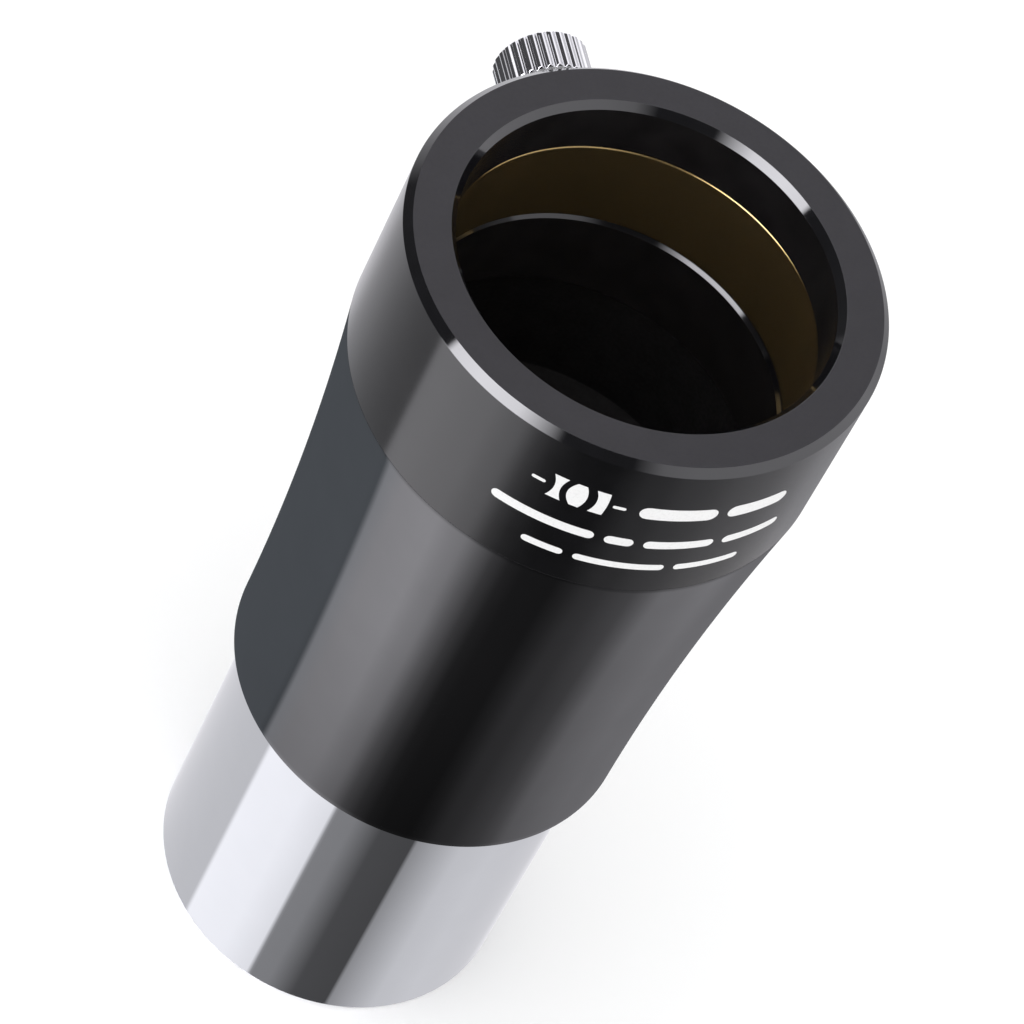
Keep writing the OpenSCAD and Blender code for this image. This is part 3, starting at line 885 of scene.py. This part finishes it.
def studio_world():
    """Plain white for the camera. For reflections, soft bands of light and dark flags, given by
    azimuth from the camera's side in degrees. Polished plating mirrors a set of its own."""
    world = bpy.data.worlds.new("studio")
    scene.world = world
    world.use_nodes = True
    tree = world.node_tree
    tree.nodes.clear()
    link = tree.links.new

    def node(kind, **values):
        n = tree.nodes.new(kind)
        for key, value in values.items():
            setattr(n, key, value)
        return n

    def maths(operation, *values):
        n = node("ShaderNodeMath", operation=operation)
        for socket, value in zip(n.inputs, values):
            if isinstance(value, (int, float)):
                socket.default_value = value
            else:
                link(value, socket)
        return n.outputs[0]

    coords = node("ShaderNodeTexCoord")
    split = node("ShaderNodeSeparateXYZ")
    link(coords.outputs["Generated"], split.inputs[0])
    x, y, z = split.outputs
    spin = (CAMERA_TURN - 90) / 360 * TAU
    ahead = maths("ADD", maths("MULTIPLY", x, math.cos(spin)),
                  maths("MULTIPLY", y, math.sin(spin)))
    aside = maths("SUBTRACT", maths("MULTIPLY", y, math.cos(spin)),
                  maths("MULTIPLY", x, math.sin(spin)))

    def turn_share(forward, times):
        """Azimuth from the camera's side as a share of a turn, times times, with 0.5 ahead."""
        return maths("MULTIPLY_ADD", maths("ARCTAN2", aside, forward), times / TAU, 0.5)

    around = turn_share(ahead, 1)
    # A wall's own azimuth and lean, from the direction half-way between the camera and the
    # light that the wall mirrors. The slanted strips on the flared body are upright in these.
    facing = maths("ADD", ahead, VIEW_AHEAD)
    rising = maths("ADD", maths("MULTIPLY_ADD", ahead, 0.012, z), VIEW_UP)
    half_around = turn_share(facing, 2)
    squares = [maths("MULTIPLY", v, v) for v in (facing, aside, rising)]
    length = maths("SQRT", maths("ADD", maths("ADD", squares[0], squares[1]), squares[2]))
    lean = maths("DIVIDE", rising, length)
    # the same, but exact at the seam, where the upright wall of the head starts
    seam_rising = maths("ADD", maths("MULTIPLY_ADD", ahead, 0.0127, z), SEAM_VIEW_UP)
    seam_lean = maths("DIVIDE", seam_rising, length)

    def band(stops, tints, turn):
        """A ring of light: stops are (azimuth, strength), and tints (azimuth, colour)."""
        ramp = node("ShaderNodeValToRGB")
        elements = ramp.color_ramp.elements
        while len(elements) > 1:
            elements.remove(elements[-1])
        for i, (angle, strength) in enumerate(stops):
            tint = tints[-1][1]
            for (a0, t0), (a1, t1) in zip(tints, tints[1:]):
                if a0 <= angle <= a1:
                    share = (angle - a0) / (a1 - a0)
                    tint = tuple(p + (q - p) * share for p, q in zip(t0, t1))
                    break
            e = elements[0] if i == 0 else elements.new(0.5 + angle / 360)
            e.position = 0.5 + angle / 360
            e.color = (*[strength * t / RAMP_SCALE for t in tint], 1)
        link(turn, ramp.inputs["Fac"])
        return ramp.outputs["Color"]

    def mix(low, high, start, end, height=z, soft=True):
        """Goes from low to high as the direction's height passes from start to end, in degrees."""
        share = node("ShaderNodeMapRange")
        share.interpolation_type = "SMOOTHSTEP" if soft else "LINEAR"
        share.inputs["From Min"].default_value = math.sin(math.radians(start))
        share.inputs["From Max"].default_value = math.sin(math.radians(end))
        link(height, share.inputs["Value"])
        n = node("ShaderNodeMix", data_type="RGBA")
        link(share.outputs[0], n.inputs["Factor"])
        link(low, n.inputs[6])
        link(high, n.inputs[7])
        return n.outputs[2]

    cool = ((-180, (1, 0.99, 1.04)), (180, (1, 0.99, 1.04)))
    body_tints = ((-180, COOL_WHITE), (-70, COOL_WHITE), (-66, WARM_WHITE), (180, WARM_WHITE))
    collar = band(((-180, 0.66), (-168, 0.80), (-152, 0.90), (-136, 0.75), (-120, 0.70),
                   (-104, 0.58), (-88, 0.50), (-72.5, 0.49), (-69.5, 1.75), (-56, 1.93),
                   (-32, 1.93), (-24, 1.65), (-16, 1.45), (-8, 0.58), (0, 0.24), (8, 0.12),
                   (16, 0.06), (32, 0.06), (40, 0.16), (48, 0.28), (56, 0.30), (64, 0.40),
                   (80, 0.46), (90, 0.53), (112, 0.53), (124, 0.57), (140, 0.55), (154, 0.43),
                   (161, 0.37), (169, 0.29), (180, 0.45)), cool, around)
    plated = band(((-180, 0.94), (-165, 0.86), (-150, 0.79), (-120, 0.74), (-90, 0.71),
                   (-74, 0.71), (-71, 1.26), (-35, 1.22), (-14, 1.05), (-11, 0.29), (2, 0.28),
                   (20, 0.09), (42.5, 0.08), (44.5, 0.36), (75, 0.73), (100, 0.78), (120, 0.75),
                   (150, 0.74), (165, 0.82), (180, 0.94)), cool, around)
    head_end, middle, foot = (band([(2 * row[0], row[k]) for row in BODY_LIGHT],
                                   body_tints, half_around) for k in (1, 2, 3))
    upper = band(((-180, 0.85), (-166, 1.3), (-150, 1.3), (-141, 1.0), (-128, 0.50),
                  (-120, 0.08), (-62, 0.05), (-58.5, 0.07), (-57, 5.6), (-40, 6.2), (-20, 5.6),
                  (-8, 2.6), (2, 0.06), (34, 0.05), (46, 0.75), (60, 0.87), (128, 0.90),
                  (141, 0.62), (152, 0.60), (165, 0.66), (180, 0.85)), cool, around)
    over_head = (-42, -25)                  # the upper band starts over these angles
    glow = mix(head_end, middle, -5.55, -3.9, lean, soft=False)
    glow = mix(glow, foot, -3.9, -1.05, lean, soft=False)
    glow = mix(glow, collar, -1.2, -0.2, seam_lean)
    glow = mix(glow, upper, *over_head)
    mirrored = mix(plated, upper, *over_head)

    path = node("ShaderNodeLightPath")
    plain = node("ShaderNodeBackground")
    plain.inputs["Color"].default_value = (1.0, 1.0, 1.0, 1)
    plain.inputs["Strength"].default_value = 1.0
    pick = node("ShaderNodeMix", data_type="RGBA")
    link(path.outputs["Is Singular Ray"], pick.inputs["Factor"])
    link(glow, pick.inputs[6])
    link(mirrored, pick.inputs[7])
    bands = node("ShaderNodeBackground")
    bands.inputs["Strength"].default_value = RAMP_SCALE
    link(pick.outputs[2], bands.inputs["Color"])
    choose = node("ShaderNodeMixShader")
    link(path.outputs["Is Glossy Ray"], choose.inputs[0])
    link(plain.outputs[0], choose.inputs[1])
    link(bands.outputs[0], choose.inputs[2])
    out = node("ShaderNodeOutputWorld")
    link(choose.outputs[0], out.inputs["Surface"])
    world.cycles.sampling_method = "NONE"


def studio_camera():
    """The photograph's camera. back is the direction from its aim point to it."""
    turn, rise = math.radians(CAMERA_TURN), math.radians(CAMERA_RISE)
    back = Vector((math.sin(turn) * math.cos(rise), -math.cos(turn) * math.cos(rise),
                   math.sin(rise)))
    data = bpy.data.cameras.new("camera")
    data.lens = CAMERA_LENS
    data.sensor_width = CAMERA_SENSOR
    data.clip_start, data.clip_end = 0.01, 50.0
    obj = bpy.data.objects.new("camera", data)
    scene.collection.objects.link(obj)
    obj.rotation_mode = "QUATERNION"
    spin = Matrix.Rotation(math.radians(CAMERA_ROLL), 4, "Z").to_quaternion()
    obj.rotation_quaternion = (-back).to_track_quat("-Z", "Y") @ spin
    obj.location = CAMERA_AIM + back * CAMERA_DISTANCE
    scene.camera = obj


def studio_light():
    """One soft disc from above, which nothing mirrors."""
    data = bpy.data.lights.new("overhead", "AREA")
    data.shape = "DISK"
    data.size = 1.2
    data.energy = 3.0
    obj = bpy.data.objects.new("overhead", data)
    obj.location = LIGHT_PLACE
    obj.rotation_mode = "QUATERNION"
    obj.rotation_quaternion = (LIGHT_AIM - obj.location).to_track_quat("-Z", "Y")
    obj.visible_glossy = False
    scene.collection.objects.link(obj)


studio_floor()
studio_world()
studio_light()
studio_camera()
scene.view_settings.view_transform = "Standard"
